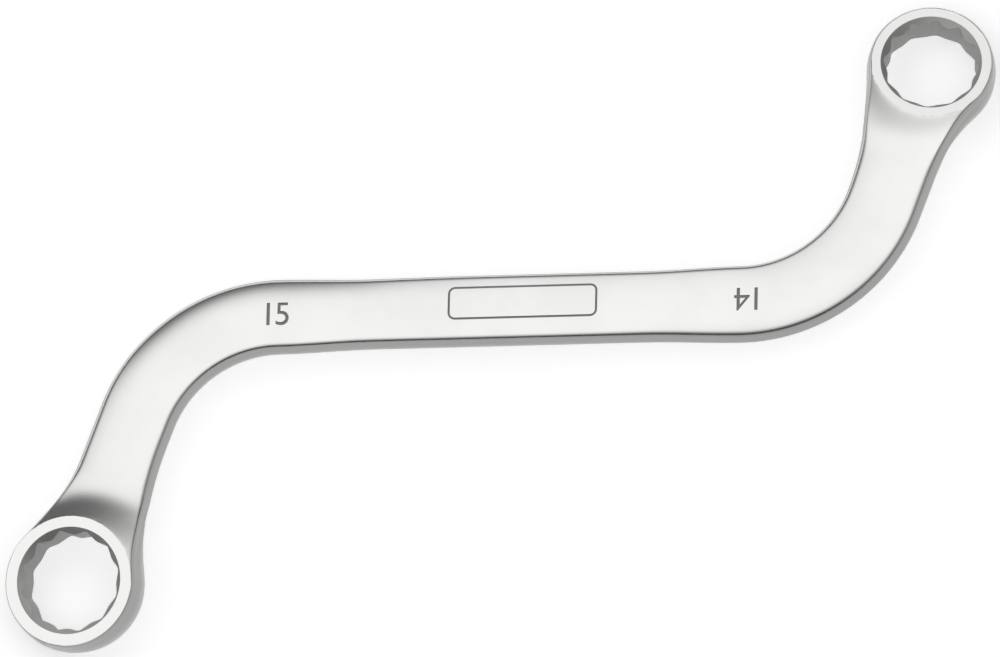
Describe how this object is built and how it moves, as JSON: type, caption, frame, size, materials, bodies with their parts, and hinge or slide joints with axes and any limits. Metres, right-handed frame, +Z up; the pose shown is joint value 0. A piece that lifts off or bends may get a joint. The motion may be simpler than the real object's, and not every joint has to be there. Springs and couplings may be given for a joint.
{
  "type": "s-shaped ring spanner",
  "caption": "S-shaped ring spanner: a flat forged steel bar bent into an S, with a leaning multi-point ring head at each end, for turning hex nuts behind an obstruction.",
  "frame": {"origin": "under the middle of the spanner's box, on the surface that it lies on", "axes": "+X along the straight middle of the bar, towards the smaller head; +Z up, out of the marked face"},
  "size_m": [0.1638, 0.1072, 0.0109],
  "materials": {
    "satin_chrome": "satin chrome plate on forged steel"
  },
  "bodies": {
    "root": {"spanner": "satin_chrome"}
  },
  "joints": []
}
